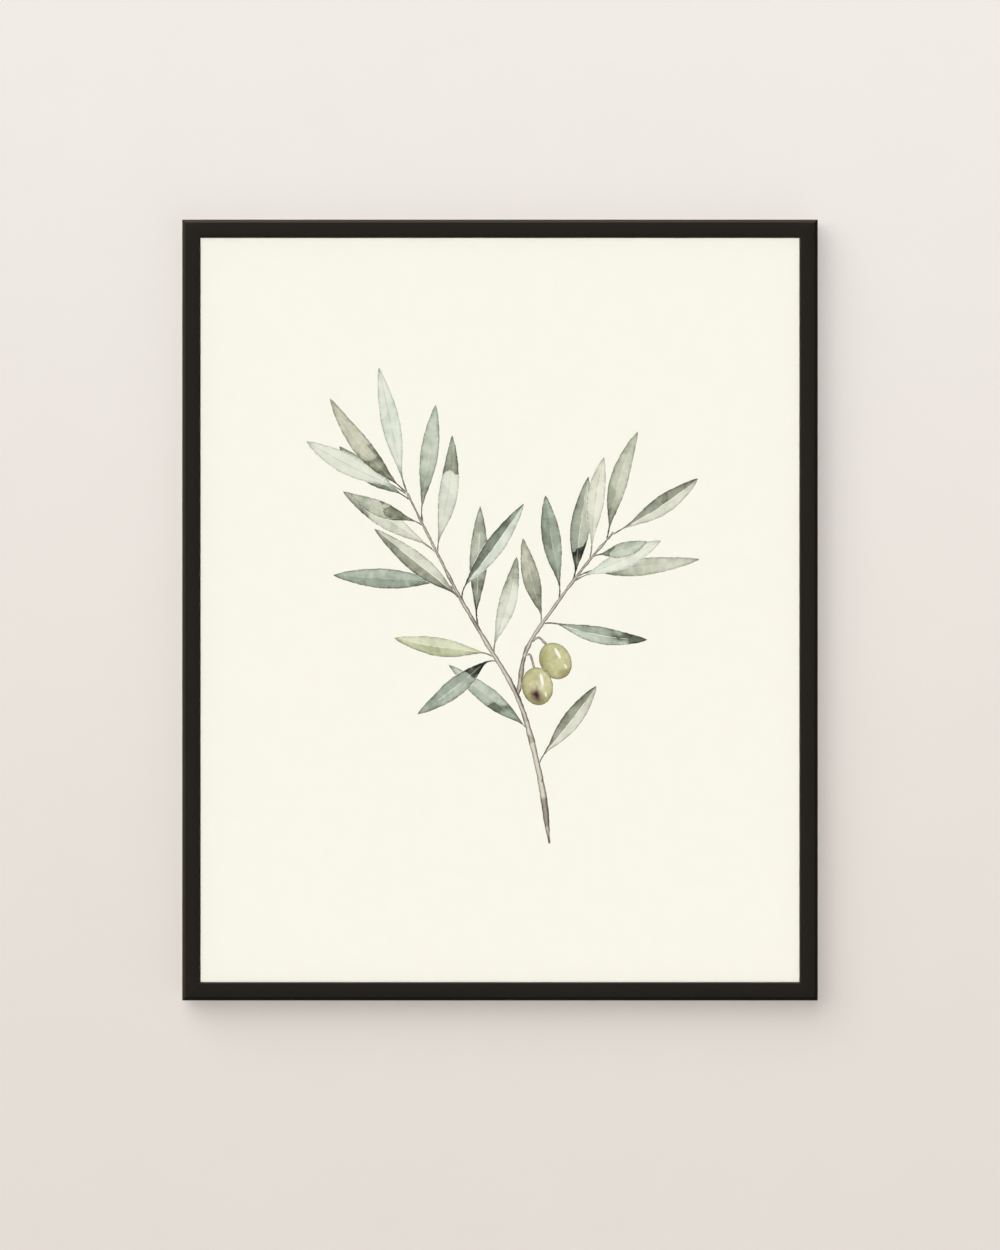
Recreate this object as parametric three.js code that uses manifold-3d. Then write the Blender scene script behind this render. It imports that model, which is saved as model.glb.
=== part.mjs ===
// A slim black wooden picture frame with a glazed botanical print.
//
// The frame hangs on a nail by a sawtooth plate. Its four rails are mitred and pinned, and the glass,
// the print, a foam board and a hardboard back lie in their rebate, held in by turn buttons.
//
// Millimetres. +X is to the right of someone facing the picture, +Y goes back to the wall, +Z is up.
// The origin is the flat root of the hanger's middle notch, where the nail carries the frame.

import * as THREE from "three";
import { mergeVertices } from "three/addons/utils/BufferGeometryUtils.js";
import Module from "manifold-3d";

const wasm = await Module();
wasm.setup();

// ---------- driving dimensions ----------

const OPENING_WIDTH = 400; // what shows of the print
const OPENING_HEIGHT = 497;

const FACE = 12; // width of a rail seen from the front
const DEPTH = 16; // of a rail, front to back
const OUTER_CHAMFER = 2; // along the outer front edge
const LIP_CHAMFER = 0.4; // along the inner front edge
const BACK_ARRIS = 0.5; // along the outer back edge
const LIP_WIDTH = 4; // how far the lip reaches over the glass
const LIP_DEPTH = 5;
const MITRE_GAP = 0.05; // from each rail's end to the plane of the mitre

const REBATE_CLEARANCE = 1; // beside the sheets in the rebate
const SHEET_GAP = 0.2; // between one sheet and the next
const GLASS_THICKNESS = 2;
const PRINT_THICKNESS = 0.4;
const FOAM_THICKNESS = 5;
const HARDBOARD_THICKNESS = 2.5;

const BUTTON_THICKNESS = 1;
const BUTTON_PIVOT_RADIUS = 3.8;
const BUTTON_TIP_RADIUS = 2.6;
const BUTTON_ARM = 11.5; // from the pivot to the centre of the tip
const BUTTON_HOLE_RADIUS = 1.7;
const BUTTON_LIFT = 0.3; // off the wood, on the screw's collar
const BUTTON_FROM_MIDDLE = { upright: 125, level: 110 }; // along a rail, from its middle

const SHANK_RADIUS = 0.95;
const THREAD_RADIUS = 1.3;
const THREAD_TURNS = 5;
const THREAD_PITCH = 1.1;
const SCREW_REACH = 8; // into the wood
const HEAD_RADIUS = 2.7;
const HEAD_HEIGHT = 1.25;
const RECESS_ARM = 2.6;
const RECESS_WIDTH = 0.6;
const RECESS_DEPTH = 0.7;
const PILOT_CLEARANCE = 0.15;

const NAIL_LEG = 6;
const NAIL_THICKNESS = 0.6;
const NAIL_HEIGHT = 8;
const NAIL_CLEARANCE = 0.15;

const HANGER_LENGTH = 46;
const HANGER_THICKNESS = 1;
const HANGER_TOP = 1.4; // from the frame's top edge to the plate
const HANGER_BEND = 7.6; // where the plate turns away from the rail
const HANGER_LIFT = 2.2; // how far its toothed edge stands off
const HANGER_EDGE = 14.6; // from the frame's top edge to the teeth's tips
const HANGER_SCREW_FROM_MIDDLE = 19;
const HANGER_GAP = 0.1;
const NOTCH_COUNT = 7;
const NOTCH_PITCH = 5;
const NOTCH_ROOT = 1.6;
const NOTCH_MOUTH = 4.2;
const NOTCH_DEPTH = 2.2;

const PAD_RADIUS = 3.7;
const PAD_ROUNDING = 0.7;
const PAD_FROM_CORNER = 26;
const WALL_PLANE = DEPTH + 3.6; // the back of the pads

// ---------- what follows from them ----------

const WIDTH = OPENING_WIDTH + 2 * FACE;
const HEIGHT = OPENING_HEIGHT + 2 * FACE;
const WALL = FACE - LIP_WIDTH; // wood behind the lip
const MID_WALL = WALL / 2;
const HANGER_FRONT = DEPTH + HANGER_GAP;
const NOTCH_PLACE = HANGER_EDGE - NOTCH_DEPTH; // the notches' roots, from the frame's top edge
const LIP_OF_HANGER = HANGER_FRONT + HANGER_LIFT + HANGER_THICKNESS / 2;

const PAINTED_WOOD = { color: 0x26231e, roughness: 0.55, metalness: 0 };
const GLASS = { color: 0xf4f8f6, roughness: 0.05, metalness: 0 };
const ART_PAPER = { color: 0xf9f6e7, roughness: 0.9, metalness: 0 };
const FOAM_BOARD = { color: 0xf2f1ec, roughness: 0.85, metalness: 0 };
const HARDBOARD = { color: 0x8a6847, roughness: 0.8, metalness: 0 };
const ZINC = { color: 0xb9bcbd, roughness: 0.35, metalness: 1 };
const BRASSED = { color: 0xb89a5a, roughness: 0.35, metalness: 1 };
const BRIGHT_STEEL = { color: 0x9a9c9e, roughness: 0.4, metalness: 1 };
const FELT = { color: 0x6b665e, roughness: 1, metalness: 0 };

function named(name, geometry, finish) {
  const mesh = new THREE.Mesh(geometry, new THREE.MeshStandardMaterial(finish));
  mesh.name = name;
  return mesh;
}

// ---------- cutting ----------

function solid(geometry) {
  const bare = geometry.clone();
  bare.deleteAttribute("normal");
  bare.deleteAttribute("uv");
  const merged = mergeVertices(bare, 1e-4);
  return new wasm.Manifold(
    new wasm.Mesh({
      numProp: 3,
      vertProperties: merged.attributes.position.array,
      triVerts: new Uint32Array(merged.index.array),
    }),
  );
}

function cut(geometry, ...tools) {
  const left = tools.reduce(
    (body, tool) => body.subtract(solid(tool)),
    solid(geometry),
  );
  const mesh = left.getMesh();
  return new THREE.BufferGeometry()
    .setAttribute("position", new THREE.BufferAttribute(mesh.vertProperties, 3))
    .setIndex(new THREE.BufferAttribute(mesh.triVerts, 1));
}

// ---------- shapes in a rail's own frame ----------
// x is the way in from the frame's outer edge, y is depth from the front, and z runs along the rail.

// A flat plate: an outline in x and z, with its front face at y and its thickness going back.
function plate(outline, y, thickness) {
  return new THREE.ExtrudeGeometry(outline, {
    depth: thickness,
    bevelEnabled: false,
    curveSegments: 16,
  })
    .rotateX(Math.PI / 2)
    .translate(0, y + thickness, 0);
}

function round(radius, x, y, z, length) {
  return new THREE.CylinderGeometry(radius, radius, length, 16).translate(
    x,
    y + length / 2,
    z,
  );
}

function polygon(points) {
  return new THREE.Shape(points.map(([x, y]) => new THREE.Vector2(x, y)));
}

// ---------- rails ----------

const railSection = polygon([
  [OUTER_CHAMFER, 0],
  [FACE - LIP_CHAMFER, 0],
  [FACE, LIP_CHAMFER],
  [FACE, LIP_DEPTH],
  [WALL, LIP_DEPTH],
  [WALL, DEPTH],
  [BACK_ARRIS, DEPTH],
  [0, DEPTH - BACK_ARRIS],
  [0, OUTER_CHAMFER],
]);

// The section drawn along the rail, with each end slid back to the 45 degree plane of its mitre.
function mitredRail(length) {
  const geometry = new THREE.ExtrudeGeometry(railSection, {
    depth: length,
    bevelEnabled: false,
  });
  const place = geometry.attributes.position;
  for (let i = 0; i < place.count; i++) {
    const back = place.getX(i) + MITRE_GAP;
    place.setZ(i, place.getZ(i) > length / 2 ? length - back : back);
  }
  return geometry;
}

// The plan of the bent steel pin that straddles the mitre at a rail's start, grown all round by spare.
function nailPlan(spare) {
  const near = MID_WALL - NAIL_THICKNESS / 2 - spare;
  const far = MID_WALL + NAIL_THICKNESS / 2 + spare;
  const end = MID_WALL + NAIL_LEG + spare;
  return polygon([
    [near, near],
    [end, near],
    [end, far],
    [far, far],
    [far, end],
    [near, end],
  ]);
}

function nailPocket() {
  return plate(
    nailPlan(NAIL_CLEARANCE),
    DEPTH - NAIL_HEIGHT - NAIL_CLEARANCE,
    NAIL_HEIGHT + 1,
  );
}

function nail() {
  return plate(nailPlan(0), DEPTH - NAIL_HEIGHT, NAIL_HEIGHT);
}

// The same pocket at the rail's far end, where the mitre leans the other way.
function farNailPocket(length) {
  const across = nailPlan(NAIL_CLEARANCE)
    .getPoints()
    .map((p) => [p.x, length - p.y]);
  return plate(
    polygon(across.reverse()),
    DEPTH - NAIL_HEIGHT - NAIL_CLEARANCE,
    NAIL_HEIGHT + 1,
  );
}

// ---------- screws ----------

// A pan-head wood screw whose head bears on the plane y = seat, as a profile from its tip to its crown.
function screw(seat, x, z) {
  const tip = DEPTH - SCREW_REACH;
  const profile = [
    [0, tip],
    [SHANK_RADIUS, tip + THREAD_PITCH],
  ];
  for (let turn = 0; turn < THREAD_TURNS; turn++) {
    const y = tip + THREAD_PITCH * (turn + 1.25);
    profile.push([THREAD_RADIUS, y + THREAD_PITCH * 0.25]);
    profile.push([SHANK_RADIUS, y + THREAD_PITCH * 0.5]);
  }
  profile.push([THREAD_RADIUS, DEPTH - 0.6]);
  profile.push([THREAD_RADIUS, seat]);
  profile.push([HEAD_RADIUS, seat]);
  const crown = new THREE.EllipseCurve(
    HEAD_RADIUS * 0.45,
    seat + 0.35,
    HEAD_RADIUS * 0.55,
    HEAD_HEIGHT - 0.35,
    0,
    Math.PI / 2,
  );
  crown.getPoints(4).forEach((p) => profile.push([p.x, p.y]));
  profile.push([0, seat + HEAD_HEIGHT]);
  const body = new THREE.LatheGeometry(
    profile.map(([r, y]) => new THREE.Vector2(r, y)),
    16,
  );
  const recess = [
    [RECESS_ARM, RECESS_WIDTH],
    [RECESS_WIDTH, RECESS_ARM],
  ].map(([long, wide]) =>
    new THREE.BoxGeometry(long, 2 * RECESS_DEPTH, wide).translate(
      0,
      seat + HEAD_HEIGHT,
      0,
    ),
  );
  return cut(body, ...recess).translate(x, 0, z);
}

function pilotHole(x, z) {
  return round(
    THREAD_RADIUS + PILOT_CLEARANCE,
    x,
    DEPTH - SCREW_REACH - 0.5,
    z,
    SCREW_REACH + 2,
  );
}

// ---------- turn buttons ----------

// Two circles and their common tangents, with the hole at the pivot, which is the outline's origin.
function buttonOutline() {
  const lean = Math.acos(
    (BUTTON_PIVOT_RADIUS - BUTTON_TIP_RADIUS) / BUTTON_ARM,
  );
  const outline = new THREE.Shape()
    .absarc(0, 0, BUTTON_PIVOT_RADIUS, lean, 2 * Math.PI - lean)
    .absarc(BUTTON_ARM, 0, BUTTON_TIP_RADIUS, -lean, lean);
  outline.holes.push(
    new THREE.Path().absarc(0, 0, BUTTON_HOLE_RADIUS, 0, 2 * Math.PI, true),
  );
  return outline;
}

const BUTTON_FRONT = DEPTH + BUTTON_LIFT;
const BUTTON_SCREW_SEAT = BUTTON_FRONT + BUTTON_THICKNESS + 0.1;

function turnButton(name, x, z) {
  const button = named(
    name,
    plate(buttonOutline(), BUTTON_FRONT, BUTTON_THICKNESS),
    ZINC,
  );
  button.position.set(x, 0, z);
  return button;
}

// ---------- sawtooth hanger ----------

const HANGER_SCREW_SEAT = HANGER_FRONT + HANGER_THICKNESS + 0.1;

// A strip bent once, so that its toothed edge stands off the back and a nail's head fits behind it.
function hanger(middle) {
  const rise = HANGER_BEND + HANGER_LIFT;
  const front = HANGER_FRONT;
  const back = HANGER_FRONT + HANGER_THICKNESS;
  const section = polygon([
    [HANGER_TOP, front],
    [HANGER_BEND, front],
    [rise, front + HANGER_LIFT],
    [HANGER_EDGE, front + HANGER_LIFT],
    [HANGER_EDGE, back + HANGER_LIFT],
    [rise - 0.4, back + HANGER_LIFT],
    [HANGER_BEND - 0.4, back],
    [HANGER_TOP, back],
  ]);
  const strip = new THREE.ExtrudeGeometry(section, {
    depth: HANGER_LENGTH,
    bevelEnabled: false,
  }).translate(0, 0, middle - HANGER_LENGTH / 2);

  const notches = Array.from({ length: NOTCH_COUNT }, (_, i) => {
    const at = middle + (i - (NOTCH_COUNT - 1) / 2) * NOTCH_PITCH;
    const flare = 0.4; // carries the notch's sides past the edge of the strip
    const spread = (NOTCH_MOUTH - NOTCH_ROOT) / 2 / NOTCH_DEPTH;
    const mouth = NOTCH_MOUTH / 2 + spread * flare;
    return plate(
      polygon([
        [NOTCH_PLACE, at - NOTCH_ROOT / 2],
        [HANGER_EDGE + flare, at - mouth],
        [HANGER_EDGE + flare, at + mouth],
        [NOTCH_PLACE, at + NOTCH_ROOT / 2],
      ]),
      front,
      HANGER_LIFT + 2 * HANGER_THICKNESS,
    );
  });
  const holes = [-1, 1].map((side) =>
    round(
      THREAD_RADIUS + 0.3,
      MID_WALL,
      front - 1,
      middle + side * HANGER_SCREW_FROM_MIDDLE,
      HANGER_THICKNESS + 2,
    ),
  );
  return cut(strip, ...notches, ...holes);
}

// ---------- felt pads ----------

// A disc that keeps the frame's lower edge off the wall, with its rim rounded over at the back.
function pad(x, z) {
  const front = DEPTH + 0.1;
  const rim = new THREE.EllipseCurve(
    PAD_RADIUS - PAD_ROUNDING,
    WALL_PLANE - PAD_ROUNDING,
    PAD_ROUNDING,
    PAD_ROUNDING,
    0,
    Math.PI / 2,
  );
  const profile = [
    new THREE.Vector2(0, front),
    new THREE.Vector2(PAD_RADIUS, front),
    ...rim.getPoints(4),
    new THREE.Vector2(0, WALL_PLANE),
  ];
  return new THREE.LatheGeometry(profile, 24).translate(x, 0, z);
}

// ---------- the four sides ----------
// Each side is a group at the corner where its rail starts, so that one set of shapes serves them all.

function side({ name, length, corner, turn, buttons, spread }) {
  const group = new THREE.Group();
  group.position.set(...corner);
  group.rotation.y = turn;

  const places = [length / 2 - spread, length / 2 + spread];
  const hangerPlaces = [-1, 1].map(
    (way) => length / 2 + way * HANGER_SCREW_FROM_MIDDLE,
  );
  const holes = name === "top" ? [...places, ...hangerPlaces] : places;

  const rail = cut(
    mitredRail(length),
    nailPocket(),
    farNailPocket(length),
    ...holes.map((z) => pilotHole(MID_WALL, z)),
  );
  group.add(named(`${name}_rail`, rail, PAINTED_WOOD));
  group.add(named(`corner_nail_${name}`, nail(), BRIGHT_STEEL));

  places.forEach((z, i) => {
    group.add(turnButton(`turn_button_${buttons[i]}`, MID_WALL, z));
    group.add(
      named(
        `turn_screw_${buttons[i]}`,
        screw(BUTTON_SCREW_SEAT, MID_WALL, z),
        ZINC,
      ),
    );
  });

  if (name === "top") {
    group.add(named("sawtooth_hanger", hanger(length / 2), BRASSED));
    ["left", "right"].forEach((word, i) =>
      group.add(
        named(
          `hanger_screw_${word}`,
          screw(HANGER_SCREW_SEAT, MID_WALL, hangerPlaces[i]),
          BRASSED,
        ),
      ),
    );
  }
  if (name === "bottom") {
    group.add(named("felt_pad_right", pad(MID_WALL, PAD_FROM_CORNER), FELT));
    group.add(
      named("felt_pad_left", pad(MID_WALL, length - PAD_FROM_CORNER), FELT),
    );
  }
  return group;
}

const sides = [
  {
    name: "left",
    length: HEIGHT,
    corner: [-WIDTH / 2, 0, -HEIGHT / 2],
    turn: 0,
    buttons: ["left_lower", "left_upper"],
    spread: BUTTON_FROM_MIDDLE.upright,
  },
  {
    name: "top",
    length: WIDTH,
    corner: [-WIDTH / 2, 0, HEIGHT / 2],
    turn: Math.PI / 2,
    buttons: ["top_left", "top_right"],
    spread: BUTTON_FROM_MIDDLE.level,
  },
  {
    name: "right",
    length: HEIGHT,
    corner: [WIDTH / 2, 0, HEIGHT / 2],
    turn: Math.PI,
    buttons: ["right_upper", "right_lower"],
    spread: BUTTON_FROM_MIDDLE.upright,
  },
  {
    name: "bottom",
    length: WIDTH,
    corner: [WIDTH / 2, 0, -HEIGHT / 2],
    turn: -Math.PI / 2,
    buttons: ["bottom_right", "bottom_left"],
    spread: BUTTON_FROM_MIDDLE.level,
  },
].map(side);

// ---------- the sheets in the rebate, from the front ----------

function sheets() {
  const width = WIDTH - 2 * WALL - 2 * REBATE_CLEARANCE;
  const height = HEIGHT - 2 * WALL - 2 * REBATE_CLEARANCE;
  let front = LIP_DEPTH;
  return [
    ["glass", GLASS_THICKNESS, GLASS],
    ["art_print", PRINT_THICKNESS, ART_PAPER],
    ["foam_board", FOAM_THICKNESS, FOAM_BOARD],
    ["hardboard_back", HARDBOARD_THICKNESS, HARDBOARD],
  ].map(([name, thickness, finish]) => {
    front += SHEET_GAP;
    const sheet = named(
      name,
      new THREE.BoxGeometry(width, thickness, height),
      finish,
    );
    sheet.position.y = front + thickness / 2;
    front += thickness;
    return sheet;
  });
}

const picture = new THREE.Group();
picture.add(...sides, ...sheets());
picture.position.set(0, -LIP_OF_HANGER, NOTCH_PLACE - HEIGHT / 2);

export default picture;
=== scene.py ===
"""A slim black wooden picture frame with a glazed watercolour print of an olive sprig."""

import math
import random

import bmesh
import bpy
from mathutils import Matrix, Vector, noise
from mathutils.geometry import delaunay_2d_cdt


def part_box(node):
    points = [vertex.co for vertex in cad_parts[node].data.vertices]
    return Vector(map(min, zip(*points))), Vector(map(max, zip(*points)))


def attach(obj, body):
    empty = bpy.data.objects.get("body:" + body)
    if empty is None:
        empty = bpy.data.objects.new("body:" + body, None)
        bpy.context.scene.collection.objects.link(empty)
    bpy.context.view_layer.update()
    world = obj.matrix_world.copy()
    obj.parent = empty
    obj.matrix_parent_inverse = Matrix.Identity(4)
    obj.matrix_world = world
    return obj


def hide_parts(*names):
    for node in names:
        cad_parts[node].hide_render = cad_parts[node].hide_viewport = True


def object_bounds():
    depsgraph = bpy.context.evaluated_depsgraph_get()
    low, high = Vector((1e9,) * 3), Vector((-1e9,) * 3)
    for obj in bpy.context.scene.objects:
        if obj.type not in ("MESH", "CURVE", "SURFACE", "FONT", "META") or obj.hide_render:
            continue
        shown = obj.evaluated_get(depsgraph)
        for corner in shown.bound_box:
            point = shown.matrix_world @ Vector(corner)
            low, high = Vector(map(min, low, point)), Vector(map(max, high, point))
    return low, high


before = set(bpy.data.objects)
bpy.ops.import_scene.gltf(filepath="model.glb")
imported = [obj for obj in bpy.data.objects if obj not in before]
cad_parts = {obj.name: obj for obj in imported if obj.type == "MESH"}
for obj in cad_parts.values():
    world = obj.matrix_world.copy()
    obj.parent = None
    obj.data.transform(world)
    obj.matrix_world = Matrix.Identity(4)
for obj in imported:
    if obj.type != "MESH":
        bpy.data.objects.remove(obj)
cad_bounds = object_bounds()
MM = 0.001


# ---- Rails ----
# Four lengths of wooden moulding, mitred at the corners. A lip along the front holds the glass.
# The faces that show are sprayed satin black, thinly enough that the wood's grain telegraphs
# through, and the back is left bare.


class Wire:
    """A socket of a material's nodes, whose maths is written as Python expressions."""

    def __init__(self, material, socket=None):
        self.material, self.socket = material, socket

    def node(self, kind, settings, sockets, output=0):
        """The output of a new node, made with its settings and then its sockets' values or wires."""
        made = self.material.node_tree.nodes.new("ShaderNode" + kind)
        for name, value in settings.items():
            if name == "stops":
                ramp = made.color_ramp.elements
                while len(ramp) < len(value):
                    ramp.new(1.0)
                for stop, (place, colour) in zip(ramp, value):
                    stop.position, stop.color = place, (*colour, 1.0)
            else:
                setattr(made, name, value)
        for name, value in sockets.items():
            if isinstance(value, Wire):
                self.material.node_tree.links.new(value.socket, made.inputs[name])
            else:
                made.inputs[name].default_value = value
        return Wire(self.material, made.outputs[output])

    def _join(self, operation, *values):
        """A Vector Math node if any of the values is a vector, or a Math node."""
        kind = "Math"
        if any(isinstance(v, tuple) or isinstance(v, Wire) and v.socket.type == "VECTOR" for v in values):
            kind = "VectorMath"
            values = [v if isinstance(v, (tuple, Wire)) else (v,) * 3 for v in values]
        return self.node(kind, {"operation": operation}, dict(enumerate(values)))

    def __add__(self, other):
        return self._join("ADD", self, other)

    def __sub__(self, other):
        return self._join("SUBTRACT", self, other)

    def __rsub__(self, other):
        return self._join("SUBTRACT", other, self)

    def __mul__(self, other):
        return self._join("MULTIPLY", self, other)

    def __truediv__(self, other):
        return self._join("DIVIDE", self, other)

    def __abs__(self):
        return self._join("ABSOLUTE", self)

    __radd__, __rmul__ = __add__, __mul__

    def decay(self, length):
        """1 at nothing, falling off by e over each length."""
        return self._join("EXPONENT", self * (-1.0 / length))

    def sign(self):
        """-1, 0 or 1."""
        return self._join("SIGN", self)

    def least(self, other):
        """Whichever is less at each place."""
        return self._join("MINIMUM", self, other)

    def most(self, other):
        """Whichever is more at each place."""
        return self._join("MAXIMUM", self, other)

    def size(self):
        """How long this vector is."""
        return self.node("VectorMath", {"operation": "LENGTH"}, {0: self}, "Value")

    def parts(self):
        """This vector's x, y and z."""
        return [self.node("SeparateXYZ", {}, {0: self}, axis) for axis in range(3)]

    def rise(self, low, high):
        """0 below low and 1 above high, with a smooth way between."""
        limits = {"Value": self, "From Min": low, "From Max": high}
        return self.node("MapRange", {"interpolation_type": "SMOOTHSTEP"}, limits)

    def between(self, none, full):
        """The colour none where this is 0, and full where it is 1."""
        ends = [v if isinstance(v, Wire) else (*v, 1.0) for v in (none, full)]
        return self.node("Mix", {"data_type": "RGBA"}, {0: self, 6: ends[0], 7: ends[1]}, 2)

    def tinted(self, colour):
        """This colour times another."""
        colour = colour if isinstance(colour, Wire) else (*colour, 1.0)
        settings = {"data_type": "RGBA", "blend_type": "MULTIPLY"}
        return self.node("Mix", settings, {0: 1.0, 6: self, 7: colour}, 2)

    def ramp(self, *stops):
        """The colour at this place along the stops, each a place and a colour."""
        return self.node("ValToRGB", {"stops": stops}, {"Fac": self})

    def noise(self, scale, detail=3.0, roughness=0.5):
        """Cloudy values about 0.5, with scale features to each unit of this vector."""
        sockets = {"Vector": self, "Scale": scale, "Detail": detail, "Roughness": roughness}
        return self.node("TexNoise", {}, sockets)

    def bump(self, depth):
        """A normal from this height, where 1 stands depth metres proud."""
        return self.node("Bump", {}, {"Height": self, "Distance": depth})

    def surface(self):
        """Makes this shader the material's surface."""
        nodes, links = self.material.node_tree.nodes, self.material.node_tree.links
        links.new(self.socket, nodes["Material Output"].inputs["Surface"])


def new_material(name):
    """A material's Principled node, and a wire to start its other nodes from."""
    material = bpy.data.materials.new(name)
    material.use_nodes = True
    shader = material.node_tree.nodes["Principled BSDF"]
    return shader, Wire(material)


def feed(shader, **sockets):
    """Sets the shader's sockets, named with _ for a space, to values or wires."""
    for name, value in sockets.items():
        socket = shader.inputs[name.replace("_", " ")]
        if isinstance(value, Wire):
            value.material.node_tree.links.new(value.socket, socket)
        else:
            socket.default_value = value


def in_millimetres(start):
    """The piece's own place as a vector in millimetres."""
    return start.node("TexCoord", {}, {}, "Object") * 1000.0


def painted_moulding():
    """Thin black paint over the grain, and bare wood from just short of the rail's back."""
    shader, start = new_material("black_painted_moulding")
    lie = start.node("Attribute", {"attribute_name": "grain"}, {}, "Vector")
    depth = lie.parts()[2]
    fibre = (lie * (0.035, 1.5, 1.5)).noise(1.0, 4.0, 0.6)
    pores = (lie * (0.16, 4.5, 4.5)).noise(1.0, 2.0).rise(0.6, 0.78)
    stipple = (lie * 2.2).noise(1.0, 2.0)
    cloud = (lie * (0.01, 0.05, 0.05)).noise(1.0, 2.0)
    wander = (lie * (0.4, 0.4, 0.4)).noise(1.0)
    paint_ends = 15.85  # how far behind the face, where the spray stopped
    bare = (depth + wander * 0.4).rise(paint_ends, paint_ends + 0.2)

    black = (fibre * 0.5 + cloud * 0.5).between((0.0175, 0.0147, 0.0104), (0.0260, 0.0222, 0.0162))
    wood = (lie * (0.02, 0.7, 0.7)).noise(1.0, 5.0, 0.65).ramp(
        (0.25, (0.42, 0.29, 0.16)), (0.55, (0.60, 0.45, 0.28)), (0.8, (0.68, 0.54, 0.36))
    )
    height = fibre * 0.5 + stipple * 0.25 - pores * 0.5
    feed(
        shader,
        Base_Color=bare.between(black, wood),
        Roughness=bare * 0.2 + stipple * 0.1 + pores * 0.1 + 0.52,
        Specular_IOR_Level=0.15,
        Normal=height.bump(0.00004),
    )
    return start.material


def eased(corners):
    """A closed outline whose corners (x, y, cut) are each rounded from cut before to cut after it."""
    outline, steps = [], 4
    for i, (x, y, cut_back) in enumerate(corners):
        here = Vector((x, y))
        before, after = Vector(corners[i - 1][:2]), Vector(corners[(i + 1) % len(corners)][:2])
        a = here + (before - here).normalized() * cut_back
        b = here + (after - here).normalized() * cut_back
        for k in range(steps + 1):
            t = k / steps
            outline.append(a * (1 - t) ** 2 + here * 2 * t * (1 - t) + b * t**2)
    return outline


def piece(name, bm, material, body, finish, stands_for, sharp=35):
    """An object from bm that rides on a body and stands for CAD nodes, creased at sharp degrees."""
    mesh = bpy.data.meshes.new(name)
    bm.to_mesh(mesh)
    bm.free()
    mesh.materials.append(material)
    mesh.shade_smooth()
    mesh.set_sharp_from_angle(angle=math.radians(sharp))
    made = bpy.data.objects.new(name, mesh)
    bpy.context.scene.collection.objects.link(made)
    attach(made, body)
    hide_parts(*stands_for)
    return made


rail_low, rail_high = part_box("left_rail")
frame_low = Vector((rail_low.x, rail_low.y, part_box("bottom_rail")[0].z))
frame_high = Vector((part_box("right_rail")[1].x, rail_high.y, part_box("top_rail")[1].z))
face, rail_depth = rail_high.x - rail_low.x, rail_high.y - rail_low.y - 0.05 * MM
glass_low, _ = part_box("glass")
lip_depth = glass_low.y - rail_low.y - 0.2 * MM
behind_lip = glass_low.x - rail_low.x - 1.0 * MM  # how thick the wood is behind the lip
bevel, lip_bevel, back_arris = 2.0 * MM, 0.4 * MM, 0.5 * MM
worn, crisp, inner = 0.35 * MM, 0.15 * MM, 0.05 * MM  # how far the corners are eased
rail_section = eased(
    [
        (bevel, 0, worn),
        (face - lip_bevel, 0, crisp),
        (face, lip_bevel, crisp),
        (face, lip_depth, crisp),
        (behind_lip, lip_depth, inner),
        (behind_lip, rail_depth, crisp),
        (back_arris, rail_depth, crisp),
        (0, rail_depth - back_arris, crisp),
        (0, bevel, worn),
    ]
)


def rail_mesh(corner, along, inward, length, seed):
    """The section drawn from a corner of the frame, with both ends on the mitres' planes.

    Each point keeps its place in the wood in millimetres, and the seed sets the rails' wood apart.
    """
    bm = bmesh.new()
    lie = bm.verts.layers.float_vector.new("grain")
    stations = 24
    glue = 0.03 * MM  # half of a mitre's glue line
    rings = []
    for i in range(stations + 1):
        ring = []
        for x, y in rail_section:
            mitre = x + glue
            z = mitre + (length - 2 * mitre) * (i / stations)
            vert = bm.verts.new(corner + along * z + inward * x + Vector((0, y, 0)))
            vert[lie] = (z * 1000 + seed * 700, x * 1000 + seed * 90, y * 1000)
            ring.append(vert)
        rings.append(ring)
    for a, b in zip(rings, rings[1:]):
        for k in range(len(a)):
            bm.faces.new((a[k - 1], a[k], b[k], b[k - 1]))
    bm.faces.new(rings[0])
    bm.faces.new(list(reversed(rings[-1])))
    bmesh.ops.recalc_face_normals(bm, faces=bm.faces)
    return bm


moulding_paint = painted_moulding()
width, height = frame_high.x - frame_low.x, frame_high.z - frame_low.z
right, up = Vector((1, 0, 0)), Vector((0, 0, 1))
rails = [  # each with the corner it starts from, its way along, its way inward, and its length
    ("left_rail", frame_low, up, right, height),
    ("top_rail", Vector((frame_low.x, frame_low.y, frame_high.z)), right, -up, width),
    ("right_rail", Vector((frame_high.x, frame_low.y, frame_high.z)), -up, -right, height),
    ("bottom_rail", Vector((frame_high.x, frame_low.y, frame_low.z)), -right, up, width),
]
for seed, (name, corner, along, inward, length) in enumerate(rails, 1):
    bm = rail_mesh(corner, along, inward, length, seed)
    piece(f"painted_{name}", bm, moulding_paint, "frame", "black_painted_wood", [name])


# ---- Corner nails ----
# A bent strip of bright steel is driven into the back of each mitre, to hold it while the glue
# sets and after. It stands a hair proud of the bare wood.


def metal(name, pale, dark, roughness, grain, speck):
    """Plated or bright metal with a clouded sheen, dull specks, and fine lines along its grain."""
    shader, start = new_material(name)
    place = in_millimetres(start)
    lines = (place * grain).noise(1.0, 4.0, 0.65)
    cloud = place.noise(0.35, 3.0)
    dull = place.noise(2.6, 2.0).rise(0.62, 0.72) * speck
    feed(
        shader,
        Base_Color=(lines * 0.5 + cloud * 0.6 - 0.05).rise(0.25, 0.75).between(dark, pale),
        Roughness=lines * 0.16 + cloud * 0.12 + dull * 0.35 + roughness - 0.12,
        Metallic=1.0 - dull * 0.6,
        Normal=(lines * 0.6 + cloud * 0.4).bump(0.000012),
    )
    return start.material


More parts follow.
